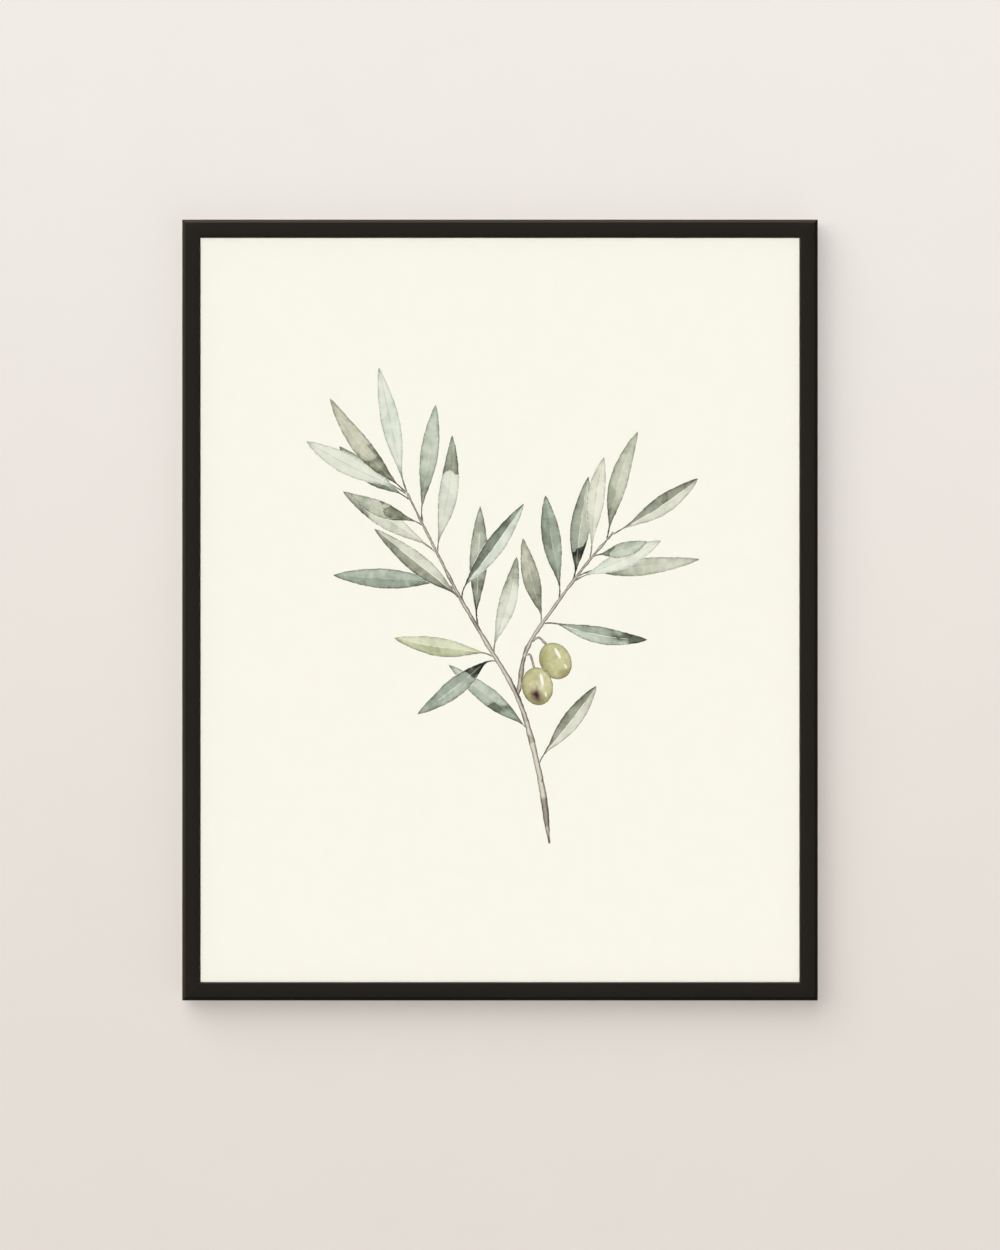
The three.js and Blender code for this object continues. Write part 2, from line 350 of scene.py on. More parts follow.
def refinish(node, material, ease=0.0, segments=2):
    """A CAD node keeps its shape and takes this material, with its sharp edges eased."""
    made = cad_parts[node]
    made.data.materials.clear()
    made.data.materials.append(material)
    if ease:
        weld = made.modifiers.new("join", "WELD")
        weld.merge_threshold = 0.002 * MM
        soft = made.modifiers.new("ease", "BEVEL")
        soft.width, soft.segments = ease, segments
        soft.limit_method, soft.angle_limit = "ANGLE", math.radians(40)
        soft.harden_normals = True
    return made


nail_steel = metal(
    "bright_nail_steel", (0.50, 0.50, 0.51), (0.30, 0.30, 0.31), 0.42, (3.0, 3.0, 3.0), 0.4
)
for side in ("top", "bottom", "left", "right"):
    refinish(f"corner_nail_{side}", nail_steel)


# ---- Glass ----
# A clear float glass pane, cut to the rebate, lies loose behind the lip. It shows only where it
# mirrors a lamp.


def clear_glass():
    """Clear all through, with a mirror's share over it that leaves out the rays on their way out."""
    shader, start = new_material("picture_glass")
    start.material.node_tree.nodes.remove(shader)
    ripple = in_millimetres(start).noise(0.012, 1.0).bump(0.00002)
    shine = start.node("BsdfGlossy", {}, {"Color": (1, 1, 1, 1), "Roughness": 0.03, "Normal": ripple})
    clear = start.node("BsdfTransparent", {}, {"Color": (0.997, 1.0, 0.998, 1)})
    leaving = start.node("NewGeometry", {}, {}, "Backfacing")
    mirrored = start.node("Fresnel", {}, {"IOR": 1.45}) * (1.0 - leaving)
    start.node("MixShader", {}, {0: mirrored, 1: clear, 2: shine}).surface()
    return start.material


glass = refinish("glass", clear_glass())
glass.visible_shadow = glass.visible_diffuse = False


# ---- Print ----
# Heavy, slightly toothed cream paper, cut to the rebate and pressed to the glass by the foam board.
# It is printed in flat inks after a watercolour of a forked olive twig with leaves and two fruit.
# The front is cut along every wash's edges, and each wash's own places tell its ink where to pool.


def spline(points, steps):
    """A smooth line through the points, with steps pieces between each two."""
    ends = [Vector(p) for p in points]
    ends = [2 * ends[0] - ends[1], *ends, 2 * ends[-1] - ends[-2]]
    line = []
    for a, b, c, d in zip(ends, ends[1:], ends[2:], ends[3:]):
        slope, swing, twist = c - a, 2 * a - 5 * b + 4 * c - d, 3 * b - a - 3 * c + d
        for k in range(steps):
            t = k / steps
            line.append(0.5 * (2 * b + slope * t + swing * t**2 + twist * t**3))
    return [*line, ends[-2]]


def sweep(start, heading, turn, spring, length):
    """A line that turns steadily as it goes, in degrees, and first bends away from its bough."""
    line, steps, bend_ends = [Vector(start)], 26, 0.22
    for k in range(steps):
        share = (k + 0.5) / steps
        angle = math.radians(heading + turn * share - spring * max(0, 1 - share / bend_ends) ** 1.5)
        line.append(line[-1] + Vector((math.cos(angle), math.sin(angle))) * length / steps)
    return line


BLEED = 0.7  # how far past a wash's edge its ink may wander
BODY = 1000  # sets the level of a wash's body above every bleed's
LEAST_AREA = 1e-4  # of a cell worth keeping


class Sprig:
    """The washes of the picture: cells in millimetres that say which wash they are in, and where.

    Each wash tells its sort (leaf, twig or fruit), its inks as wash and second, and what the hand
    did to it (its hue, how far its second wash leans, and how wet the edge of that is).
    """

    def __init__(self):
        self.places, self.inside, self.cells, self.washes = [], [], [], []

    def _add(self, wash, place, own):
        self.places.append(Vector(place))
        self.inside.append((own, wash))
        return len(self.places) - 1

    def _cell(self, corners, level, body):
        """Splits a cell into triangles that all run anticlockwise, and drops any with no area."""
        for k in range(1, len(corners) - 1):
            cell = (corners[0], corners[k], corners[k + 1])
            a, b, c = (self.places[n] for n in cell)
            area = (b - a).cross(c - a)
            if abs(area) > LEAST_AREA:
                cell = cell if area > 0 else cell[::-1]
                self.cells.append((cell, level + BODY * body))

    def strip(self, line, half_at, level, **wash):
        """A wash along a line. Its own places are (share of the way, off the line, half width)."""
        self.washes.append(wash)
        number, last, rows = len(self.washes) - 1, len(line) - 1, []
        for i, here in enumerate(line):
            run = (line[min(i + 1, last)] - line[max(i - 1, 0)]).normalized()
            side, half = Vector((-run.y, run.x)), half_at(i / last)
            rows.append(
                [
                    self._add(number, here + side * off, (i / last, off, half))
                    for off in (-half - BLEED, -half, 0, half, half + BLEED)
                ]
            )
        for a, b in zip(rows, rows[1:]):
            for k in range(4):
                self._cell((a[k], a[k + 1], b[k + 1], b[k]), level, k in (1, 2))

    def oval(self, centre, radii, tilt, level, **wash):
        """A round wash. Its own places are (across, up, radius), the first two from -1 to 1."""
        self.washes.append(wash)
        number, sides = len(self.washes) - 1, 28
        turn = math.radians(tilt)
        long, short = Vector((math.cos(turn), math.sin(turn))), Vector((math.sin(turn), -math.cos(turn)))
        rings = []
        for reach in (0.1, 0.55, 1.0, 1.0 + BLEED / min(radii)):  # shares of the radii
            ring = []
            for k in range(sides):
                a = 2 * math.pi * k / sides
                x, y = reach * math.cos(a), reach * math.sin(a)
                place = Vector(centre) + short * x * radii[0] + long * y * radii[1]
                ring.append(self._add(number, place, (x, y, min(radii))))
            rings.append(ring)
        self._cell(list(reversed(rings[0])), level, True)
        for n, (a, b) in enumerate(zip(rings, rings[1:])):
            for k in range(sides):
                self._cell((a[k - 1], a[k], b[k], b[k - 1]), level, n < 2)


sprig = Sprig()
chance = random.Random(11)
# Each kind's ink above the midrib, ink below it and warmth. Then its second wash: where it ends,
# counted from the base or, below 0, from the tip, its ink, and how bare or, below 0, how dark the
# midrib is.
leaf_kinds = {
    "even": ((1.10, 0.92, 0.25), (0.35, 0.5, 0.4)),
    "halved": ((1.20, 0.44, 0.1), (0.2, 0.5, 0.9)),
    "pale": ((0.34, 0.26, 0.3), (0.0, 0.0, -0.8)),
    "folded": ((0.42, 0.30, 0.15), (-0.66, 1.5, -0.6)),
    "dipped": ((0.70, 0.60, 0.35), (0.45, 1.3, 0.3)),
    "dark": ((1.05, 0.85, 0.05), (0.36, 3.4, 0.6)),
    "dark_tip": ((0.80, 0.55, 0.1), (-0.74, 2.8, 0.7)),
    "yellow": ((0.70, 0.42, 1.0), (0.0, 0.0, 0.7)),
}


def leaf(start, heading, length, half, turn, spring, kind, level):
    """A narrow leaf: a thin stalk that widens into a blade with a drawn-out tip."""
    stalk, stalk_half, belly = 0.07, 0.62, chance.uniform(0.95, 1.25)
    wash, second = leaf_kinds[kind]
    wash = tuple(v * chance.uniform(0.85, 1.15) for v in wash)
    hand = (chance.uniform(-1, 1), chance.uniform(-1, 1), chance.choice((0.0, 0.1, 0.6, 1.0)))

    def half_at(s):
        blade = max(s - stalk, 0) / (1 - stalk)
        swell = math.sin(math.pi * blade**belly) ** (1.5 - 0.8 * blade)
        return max(stalk_half, half * swell) * min(1, (1.02 - s) * 25)

    line = sweep(start, heading - turn / 2, turn, spring, length)
    sprig.strip(line, half_at, level, sort=(1, 0, 0), wash=wash, second=second, hand=hand)


left_bough = spline([(33, -156), (27, -113), (13, -61), (-9, -22), (-26, 7), (-42, 38), (-62, 78)], 6)
right_bough = spline([(12, -58), (18, -26), (37, 3), (58, 31), (76, 52)], 6)


def along(line, share):
    """A place on a line, and the way it heads there in degrees."""
    reach = share * (len(line) - 1)
    i = min(int(reach), len(line) - 2)
    run = line[i + 1] - line[i]
    return line[i] + run * (reach - i), math.degrees(math.atan2(run.y, run.x))


# Each leaf: how far up its bough, how far it spreads to the left, its length, and its kind.
# A later leaf is painted over an earlier one.
left_leaves = [
    (0.19, -46, 68, "halved"),
    (0.26, 36, 72, "dipped"),
    (0.44, 90, 66, "dark"),
    (0.45, 44, 70, "yellow"),
    (0.46, -40, 68, "folded"),
    (0.54, -32, 84, "dark"),
    (0.70, 58, 84, "even"),
    (0.65, 22, 78, "halved"),
    (0.66, -62, 78, "halved"),
    (0.82, 30, 78, "folded"),
    (0.83, -26, 80, "folded"),
    (0.98, 16, 60, "even"),
    (0.91, 34, 54, "dipped"),
    (0.91, -34, 82, "dipped"),
    (0.99, 32, 78, "pale"),
    (1.00, 2, 82, "dipped"),
    (1.00, -14, 86, "pale"),
]
right_leaves = [
    (0.38, 46, 60, "even"),
    (0.39, -54, 72, "dark_tip"),
    (0.52, 42, 72, "even"),
    (0.66, -44, 84, "dipped"),
    (0.63, 26, 72, "dark"),
    (0.63, -24, 66, "pale"),
    (0.77, 24, 70, "pale"),
    (0.80, -26, 38, "dipped"),
    (0.93, 15, 76, "dipped"),
    (0.97, -9, 70, "halved"),
]
for line, level, leaves in ((left_bough, 100, left_leaves), (right_bough, 60, right_leaves)):
    for n, (share, spread, length, kind) in enumerate(leaves):
        place, heading = along(line, share)
        turn = math.copysign(chance.uniform(-4, 24), -spread)
        half = (4.2 + length * 0.029) * chance.uniform(0.92, 1.08)
        leaf(place, heading + spread - turn / 2, length, half, turn, spread * 0.8, kind, level + n)


def bough_half(thick, thin, swell, cut):
    """A twig's half width along it, pointed at its cut end and swollen where leaves spring from it."""

    def half_at(s):
        joints = swell * max(0, math.cos(s * 50)) ** 6
        return (thick + (thin - thick) * s**0.6 + joints) * min(1, 0.2 + s / cut)

    return half_at


# A twig's wash says whether it is dark where it forks off and whether it ends in a cut, and a
# fruit's how ripe it is. The twigs go over the leaves and the fruit's stalks, and the fruit over all.
wood = {"sort": (0, 1, 0), "second": (0, 0, 0), "hand": (0.3, 0.1, 0)}
sprig.strip(left_bough, bough_half(2.8, 0.8, 0.45, 0.09), 200, wash=(0, 1, 0), **wood)
sprig.strip(right_bough, bough_half(1.9, 0.75, 0.35, 0.01), 190, wash=(1, 0, 0), **wood)
for centre, tilt, ripe, hang in (
    ((37, -34), 118, 0.0, [(21, -21), (26, -18.5), (31, -23)]),
    ((25, -51), 102, 1.0, [(16, -31), (20, -30), (23, -39)]),
):
    sprig.strip(spline(hang, 6), lambda s: 0.95, 150, wash=(0, 0, 0), **wood)
    fruit = {"sort": (0, 0, 1), "wash": (ripe, 0, 0), "second": (0, 0, 0), "hand": (ripe * 0.2, 0, 0)}
    sprig.oval(centre, (10.4, 12.8), tilt, 310 - centre[1], **fruit)


def print_sheet(sprig):
    """The paper, closed all round, with the washes' cells in its front and their places on them."""
    low, high = (v * 1000 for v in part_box("art_print"))
    opening = Vector(((frame_low.x + frame_high.x) * 500, (frame_low.z + frame_high.z) * 500))
    sheet = [(low.x, low.z), (high.x, low.z), (high.x, high.z), (low.x, high.z)]
    points = [p + opening for p in sprig.places] + [Vector(p) for p in sheet]
    cells = [c for c, _ in sprig.cells]
    whole_hull, nearest = 0, 1e-5
    points, _, faces, _, _, came_from = delaunay_2d_cdt(points, [], cells, whole_hull, nearest)

    # each corner of the front gets the top wash's own place there, and a place on the OFBake map,
    # which the front nearly fills
    bm = bmesh.new()
    layers = {k: bm.loops.layers.float_vector.new(k) for k in ("own", "wash", "second", "hand", "sort")}
    bake = bm.loops.layers.uv.new("OFBake")
    front = [bm.verts.new((x / 1000, low.y / 1000, z / 1000)) for x, z in points]
    size = high - low
    for corners, over in zip(faces, came_from):
        drawn = bm.faces.new([front[c] for c in corners])
        for loop, c in zip(drawn.loops, corners):
            x, z = points[c]
            loop[bake].uv = (0.01 + 0.98 * (x - low.x) / size.x, 0.05 + 0.94 * (z - low.z) / size.z)
            if not over:
                continue
            cell = max(over, key=lambda c: sprig.cells[c][1])
            (i, j, k), _ = sprig.cells[cell]
            a, b, d = (sprig.places[n] + opening for n in (i, j, k))
            whole = (b - a).cross(d - a)
            here = Vector((x, z))
            v, w = (here - a).cross(d - a) / whole, (b - a).cross(here - a) / whole
            own = [Vector(sprig.inside[n][0]) for n in (i, j, k)]
            wash = sprig.washes[sprig.inside[i][1]]
            loop[layers["own"]] = own[0] * (1 - v - w) + own[1] * v + own[2] * w
            for name in ("wash", "second", "hand", "sort"):
                loop[layers[name]] = wash[name]

    # the back and the four edges, in a strip under the front
    corners = [min(range(len(points)), key=lambda n: (points[n] - Vector(p)).length) for p in sheet]
    back = [bm.verts.new((x / 1000, high.y / 1000, z / 1000)) for x, z in sheet]
    rest = [list(reversed(back))]
    rest += [[front[corners[k - 1]], back[k - 1], back[k], front[corners[k]]] for k in range(4)]
    for n, corner_verts in enumerate(rest):
        made = bm.faces.new(corner_verts)
        for loop, (u, v) in zip(made.loops, ((0, 0), (0.1, 0), (0.1, 0.03), (0, 0.03))):
            loop[bake].uv = (0.01 + 0.15 * n + u, 0.005 + v)
    bmesh.ops.recalc_face_normals(bm, faces=bm.faces)
    return bm


def watercolour_print():
    """Cream paper with the washes' inks on it, each worked out from its wash's own places."""
    shader, start = new_material("watercolour_print")

    def told(name):
        return start.node("Attribute", {"attribute_name": name}, {}, "Vector")

    place = in_millimetres(start)
    is_leaf, is_twig, is_fruit = told("sort").parts()
    share, off, half = told("own").parts()
    upper, lower, warmth = told("wash").parts()
    limit, added, rib_ink = told("second").parts()
    hue, lean, wet = told("hand").parts()
    here = place + told("hand") * 300.0  # so that each wash has clouds of its own
    blots = here.noise(0.085, 1.0)
    cloud = here.noise(0.17, 4.0, 0.6)
    ragged = place.noise(0.55, 3.0)
    grit = place.noise(1.7, 3.0, 0.65)

    paper = (place.noise(0.09, 4.0, 0.6) * 0.6 + place.noise(0.8, 3.0) * 0.4).between(
        (0.935, 0.905, 0.800), (0.970, 0.945, 0.845)
    )

    # a leaf's ink: two halves, a second wash whose edge is dry or wet, a third glaze here and there,
    # a bare midrib, and pools along the edges
    across = off / half
    edge = half - abs(off) + place.noise(0.28, 3.0) * 1.1 - 0.62
    inked = edge.rise(0.0, 0.22)
    ink = lower + (upper - lower) * off.rise(-0.2, 0.2)
    ink = ink * (0.46 + 1.18 * cloud + 0.6 * (blots - 0.5))
    second_edge = limit.sign() * (abs(limit) - share - (blots - 0.5) * 0.5 - (ragged - 0.5) * 0.06)
    second_edge = second_edge + across * lean * 0.09
    spread = 0.01 + wet * 0.22
    second = second_edge.rise(0.0, spread) * (0.3 + 1.0 * cloud)
    ink = ink + added * second * second_edge.most(0.0).decay(0.35)
    ink = ink + abs(second_edge).decay(0.008) * added.least(0.4) * (1.0 - wet.least(1.0)) * 0.6
    glaze = here.noise(0.075, 0.0).rise(0.60, 0.615)
    ink = ink + glaze * (0.05 + ink * 0.16)
    line = 1.0 - abs(off + (ragged - 0.5) * 0.5).rise(0.12, 0.34)
    skipped = here.noise(0.11, 1.0).rise(0.40, 0.47)
    bare = line * share.rise(0.16, 0.24) * (1.0 - share.rise(0.78, 0.86)) * skipped
    ink = ink * (1.0 - bare * rib_ink.most(0.0)) - line * rib_ink.least(0.0) * 0.5 * cloud.rise(0.3, 0.6)
    ink = ink + edge.most(0.0).decay(0.55) * (0.75 + ink * 1.5) * ragged.rise(0.25, 0.6)
    ink = ink + (1.0 - share.rise(0.06, 0.24)) * (0.55 + grit * 0.9) + share.rise(0.93, 1.0) * 0.35
    ink = ink * (0.86 + 0.28 * grit)
    depth = (ink * 0.25).least(1.0)
    sage = depth.ramp(
        (0.0, (0.95, 0.92, 0.80)),
        (0.08, (0.77, 0.785, 0.69)),
        (0.25, (0.390, 0.425, 0.352)),
        (0.5, (0.133, 0.147, 0.106)),
        (1.0, (0.012, 0.014, 0.010)),
    )
    olive = depth.ramp(
        (0.0, (0.95, 0.92, 0.80)),
        (0.08, (0.79, 0.78, 0.58)),
        (0.25, (0.46, 0.46, 0.27)),
        (0.5, (0.17, 0.18, 0.095)),
        (1.0, (0.014, 0.018, 0.010)),
    )
    cool = (hue * 0.4 + 0.5 + (cloud - 0.5) * 0.6).rise(0.0, 1.0)
    tint = cool.between((1.04, 0.97, 0.88), (0.945, 1.0, 0.985))
    tint = (depth * 5.0).least(1.0).between((1.0, 1.0, 1.0), tint)
    leaf_colour = warmth.rise(0.1, 1.0).between(sage, olive).tinted(tint)

    # the twig's: a pale grey-brown wash with dark brown outlines, darker where it forks, with a
    # brown patch and a green tail at its cut end
    cut_end = lower * (1.0 - share.rise(0.115, 0.125))
    knots = here.noise(0.10, 1.0).rise(0.56, 0.60) * 0.45
    bark = 0.05 + 0.45 * cloud + across.rise(0.1, -0.9) * 0.45 + knots
    bark = bark + edge.most(0.0).decay(0.6) * (0.6 + 3.2 * ragged) + upper * share.decay(0.03) * 1.3
    bark = bark + cut_end * 0.75 - lower * (1.0 - share.rise(0.040, 0.047)) * 0.55
    bark = bark + lower * (1.0 - abs(share - 0.35).rise(0.0, 0.05)) * across.rise(0.5, -0.6) * 1.2
    bark_colour = (bark * 0.42 * (0.8 + 0.4 * grit)).ramp(
        (0.0, (0.92, 0.88, 0.77)),
        (0.3, (0.56, 0.51, 0.415)),
        (0.6, (0.225, 0.190, 0.140)),
        (1.0, (0.050, 0.038, 0.027)),
    )

    # the fruit's: green washes round a bare highlight, a brown outline, and a ripe blush on one
    spot = told("own") * (1.0, 1.0, 0.0)
    turned_in, up_it, _ = spot.parts()
    rim = (1.0 - spot.size()) * half
    fruit_inked = (rim + ragged * 0.6 - 0.3).rise(0.0, 0.2)
    shade = spot.size().rise(0.15, 1.0) * 0.22 + (1.0 - here.noise(0.14, 4.0, 0.6)) * 1.1 - 0.22
    shade = shade - turned_in * 0.24 - up_it * 0.10
    flesh = shade.ramp(
        (0.0, (0.82, 0.80, 0.58)),
        (0.35, (0.60, 0.575, 0.315)),
        (0.7, (0.39, 0.36, 0.165)),
        (1.0, (0.21, 0.165, 0.075)),
    )
    drift = (spot - (-0.2, -0.42, 0.0)).size() + (cloud - 0.5) * 0.9
    blush = upper * (1.0 - drift.rise(0.06, 0.62))
    flesh = (blush * 0.9).between(flesh, (0.130, 0.060, 0.062))
    flesh = (upper * (1.0 - drift.rise(0.0, 0.22))).between(flesh, (0.035, 0.016, 0.016))
    outline = abs(rim).decay(0.45) * (0.8 + 0.9 * ragged)
    flesh = outline.between(flesh, (0.125, 0.092, 0.045))
    torn = (ragged - 0.5) * 0.5
    glint = ((spot - (0.36, 0.30, 0.0)) * (1.0 / 0.12, 1.0 / 0.36, 1.0)).size() + torn
    low_glint = ((spot - (0.42, -0.50, 0.0)) * (1.0 / 0.07, 1.0 / 0.16, 1.0)).size() + torn
    shine = (1.0 - glint.rise(0.8, 1.0)).most((1.0 - low_glint.rise(0.8, 1.0)) * 0.8)
    flesh = shine.between(flesh, (0.93, 0.91, 0.80))

    picture = (is_leaf * inked).between(paper, leaf_colour)
    picture = (is_twig * inked).between(picture, bark_colour)
    picture = (is_fruit * fruit_inked).between(picture, flesh)
    tooth = place.noise(0.45, 4.0, 0.6) * 0.7 + place.noise(2.5, 2.0) * 0.3
    feed(
        shader,
        Base_Color=picture,
        Roughness=0.86,
        Specular_IOR_Level=0.25,
        Normal=tooth.bump(0.00012),
    )
    return start.material


printed = piece(
    "printed_sheet", print_sheet(sprig), watercolour_print(), "frame", "art_paper", ["art_print"]
)


# ---- Foam board ----
# A light board of foamed plastic between two paper faces, cut with a knife. It lies loose behind
# the print and keeps it flat against the glass.


def foam_core():
    """Off-white paper with the foam's cells faintly raised through it."""
    shader, start = new_material("foam_board")
    place = in_millimetres(start)
    fibre = place.noise(0.8, 4.0, 0.6)
    cells = start.node("TexVoronoi", {"feature": "F1"}, {"Vector": place, "Scale": 2.2})
    feed(
        shader,
        Base_Color=(fibre * 0.7 + cells * 0.3).between((0.84, 0.83, 0.79), (0.92, 0.915, 0.89)),
        Roughness=fibre * 0.1 + 0.8,
        Normal=(cells * 0.6 + fibre * 0.4).bump(0.00006),
    )
    return start.material


refinish("foam_board", foam_core())


# ---- Hardboard back ----
# Pressed wood fibre, cut by a saw, with one smooth face out. It closes the rebate behind the foam
# board, nearly level with the backs of the rails.


def pressed_fibre():
    """Mottled brown fibre with pale shreds and dark bits pressed into it."""
    shader, start = new_material("hardboard")
    place = in_millimetres(start)
    broad = place.noise(0.012, 4.0, 0.55)
    mottle = place.noise(0.10, 5.0, 0.65)
    fibres = place.noise(0.45, 6.0, 0.75)
    warped = place + start.node("TexNoise", {}, {"Vector": place, "Scale": 0.3}, "Color") * 2.0
    shreds = (warped * (1.3, 1.3, 0.35)).noise(1.0, 3.0, 0.6).rise(0.60, 0.70)
    dark_bits = (warped * (0.4, 1.2, 1.2)).noise(1.0, 3.0, 0.6).rise(0.63, 0.70)
    tone = (broad * 0.2 + mottle * 0.2 + fibres * 0.6).rise(0.34, 0.66)
    board = tone.between((0.215, 0.125, 0.066), (0.325, 0.200, 0.110))
    board = (shreds * 0.35).between(board, (0.46, 0.31, 0.18))
    board = (dark_bits * 0.5).between(board, (0.125, 0.068, 0.034))
    feed(
        shader,
        Base_Color=board,
        Roughness=fibres * 0.2 + 0.52,
        Specular_IOR_Level=0.35,
        Normal=(fibres * 0.6 + shreds * 0.25 - dark_bits * 0.15).bump(0.00008),
    )
    return start.material


refinish("hardboard_back", pressed_fibre(), ease=0.25 * MM)


# ---- Turn buttons ----
# Flat fingers stamped from zinc-plated sheet, which swivel on their screws over the back.

zinc = metal("zinc_plate", (0.56, 0.575, 0.60), (0.36, 0.375, 0.40), 0.38, (0.5, 2.2, 0.5), 0.5)
places = ("left_lower", "left_upper", "right_lower", "right_upper")
places += ("top_left", "top_right", "bottom_left", "bottom_right")
for place in places:
    refinish(f"turn_button_{place}", zinc, ease=0.14 * MM, segments=3)


# ---- Screws ----
# Pan-head wood screws with a cross recess, headed and rolled from steel wire. Eight zinc-plated
# ones carry the turn buttons, and two brassed ones hold the hanger.


def turned(profile, sides):
    """A closed solid of revolution about +Y from (radius, place along it), tip first."""
    bm = bmesh.new()
    tip, crown = bm.verts.new((0, profile[0][1], 0)), bm.verts.new((0, profile[-1][1], 0))
    rings = []
    for radius, y in profile[1:-1]:
        turn = [2 * math.pi * k / sides for k in range(sides)]
        rings.append([bm.verts.new((radius * math.cos(a), y, radius * math.sin(a))) for a in turn])
    for k in range(sides):
        bm.faces.new((tip, rings[0][k], rings[0][k - 1]))
        bm.faces.new((crown, rings[-1][k - 1], rings[-1][k]))
        for a, b in zip(rings, rings[1:]):
            bm.faces.new((a[k - 1], a[k], b[k], b[k - 1]))
    return bm


def screw_mesh(tip, seat, crown, head_radius):
    """A screw about +Y whose thread winds up the shank, with a cross sunk in its head."""
    shank, crest, pitch, sides = 0.95 * MM, 1.3 * MM, 1.1 * MM, 36
    rows_a_turn, point, nose = 10, 2.0 * MM, 0.1 * MM
    profile = [(0, tip), (0.12 * MM, tip + 0.02 * MM)]
    thread_top = seat - 1.9 * MM
    threaded = thread_top - tip - nose
    steps = int(threaded / pitch * rows_a_turn)
    for i in range(steps + 1):
        y = tip + nose + threaded * i / steps
        profile.append((shank * min(1, 0.2 + 0.8 * (y - tip) / point), y))
    profile += [(crest * 0.97, thread_top + 0.35 * MM), (crest * 0.97, seat)]
    arris, rim = 0.12 * MM, 0.4 * MM  # of the head's edge: its rounding, and its height
    profile += [(head_radius - arris, seat), (head_radius, seat + arris), (head_radius, seat + rim)]
    for k in range(1, 8):
        a = math.pi / 2 * k / 8
        rise = (crown - seat - rim) * math.sin(a)
        profile.append((head_radius * (0.42 + 0.58 * math.cos(a)), seat + rim + rise))
    profile += [(head_radius * 0.3, crown), (0, crown)]
    bm = turned(profile, sides)
    for vert in bm.verts:
        y, radius = vert.co.y, math.hypot(vert.co.x, vert.co.z)
        if tip + 0.05 * MM < y < thread_top + 0.01 * MM and radius > 0:
            turn = (y / pitch - math.atan2(vert.co.z, vert.co.x) / (2 * math.pi)) % 1
            ridge = max(0.0, 1 - abs(turn - 0.5) / 0.28)
            fade = min(1, (y - tip) / point, (thread_top - y) / (0.6 * MM))
            grown = radius + (crest - shank) * ridge * max(fade, 0)
            vert.co.x *= grown / radius
            vert.co.z *= grown / radius
    bmesh.ops.recalc_face_normals(bm, faces=bm.faces)
    return bm


def cross_cutter(crown):
    """Two crossed wedges, wide at the crown and narrow below it."""
    bm = bmesh.new()
    floor = (crown - 0.75 * MM, 0.55 * MM, 0.2 * MM)  # height, half length and half width
    mouth = (crown + 0.3 * MM, 1.65 * MM, 0.36 * MM)
    for turn in (0, math.pi / 2):
        corners, cos, sin = [], math.cos(turn), math.sin(turn)
        for y, long, wide in (floor, mouth):
            for x, z in ((-long, -wide), (long, -wide), (long, wide), (-long, wide)):
                corners.append(bm.verts.new((x * cos - z * sin, y, x * sin + z * cos)))
        low, high = corners[:4], corners[4:]
        bm.faces.new(low)
        bm.faces.new(high)
        for k in range(4):
            bm.faces.new((low[k - 1], low[k], high[k], high[k - 1]))
    bmesh.ops.recalc_face_normals(bm, faces=bm.faces)
    return bm


def cut_away(bm, cutter):
    """bm without the cutter's volume, as a mesh."""
    both = []
    for part in (bm, cutter):
        mesh = bpy.data.meshes.new("part")
        part.to_mesh(mesh)
        part.free()
        both.append(bpy.data.objects.new("part", mesh))
        bpy.context.scene.collection.objects.link(both[-1])
    cut = both[0].modifiers.new("cut", "BOOLEAN")
    cut.operation, cut.object, cut.solver, cut.use_self = "DIFFERENCE", both[1], "EXACT", True
    shown = both[0].evaluated_get(bpy.context.evaluated_depsgraph_get())
    result = bmesh.new()
    result.from_mesh(shown.to_mesh())
    shown.to_mesh_clear()
    for part in both:
        mesh = part.data
        bpy.data.objects.remove(part)
        bpy.data.meshes.remove(mesh)
    return result


brassed = metal("brassed_steel", (0.56, 0.42, 0.205), (0.36, 0.25, 0.105), 0.38, (2.0, 2.0, 0.4), 0.4)
screw_kinds = [
    ([f"turn_screw_{place}" for place in places], zinc, "zinc_plated_steel"),
    (["hanger_screw_left", "hanger_screw_right"], brassed, "brassed_steel"),
]
head_height = 1.25 * MM  # from the seat to the crown
for nodes, plate, finish in screw_kinds:
    low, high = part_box(nodes[0])
    whole = screw_mesh(low.y, high.y - head_height, high.y, (high.x - low.x) / 2)
    one = cut_away(whole, cross_cutter(high.y))
    for node in nodes:
        low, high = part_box(node)
        bm = one.copy()
        turn = Matrix.Rotation(chance.uniform(0, math.pi), 4, "Y")
        bm.transform(Matrix.Translation(((low.x + high.x) / 2, 0, (low.z + high.z) / 2)) @ turn)
        piece(f"cross_{node}", bm, plate, "frame", finish, [node], sharp=40)
    one.free()


# ---- Sawtooth hanger ----
# A brassed steel strip with a row of punched notches, screwed to the top rail near both ends. It is
# bent so that its toothed edge stands off the wood and a nail's head can pass behind it.

refinish("sawtooth_hanger", brassed, ease=0.12 * MM, segments=3)


# ---- Felt pads ----
# Punched discs of pressed wool, glued to the lower rail so that the frame neither marks the wall
# nor swings.


def pressed_wool():
    """Grey wool with swirled hairs and tufts."""
    shader, start = new_material("grey_felt")
    place = in_millimetres(start)
    swirl = start.node("TexNoise", {}, {"Vector": place, "Scale": 1.4, "Detail": 2.0}, "Color") * 1.6
    hairs = ((place + swirl) * (5.0, 5.0, 1.2)).noise(1.0, 4.0, 0.7)
    tufts = place.noise(1.6, 5.0, 0.7)
    tone = (hairs * 0.6 + tufts * 0.4).rise(0.35, 0.65)
    feed(
        shader,
        Base_Color=tone.between((0.075, 0.070, 0.062), (0.220, 0.205, 0.182)),
        Roughness=0.95,
        Specular_IOR_Level=0.15,
        Sheen_Weight=0.4,
        Sheen_Roughness=0.4,
        Normal=(hairs * 0.5 + tufts * 0.5).bump(0.00025),
    )
    return start.material


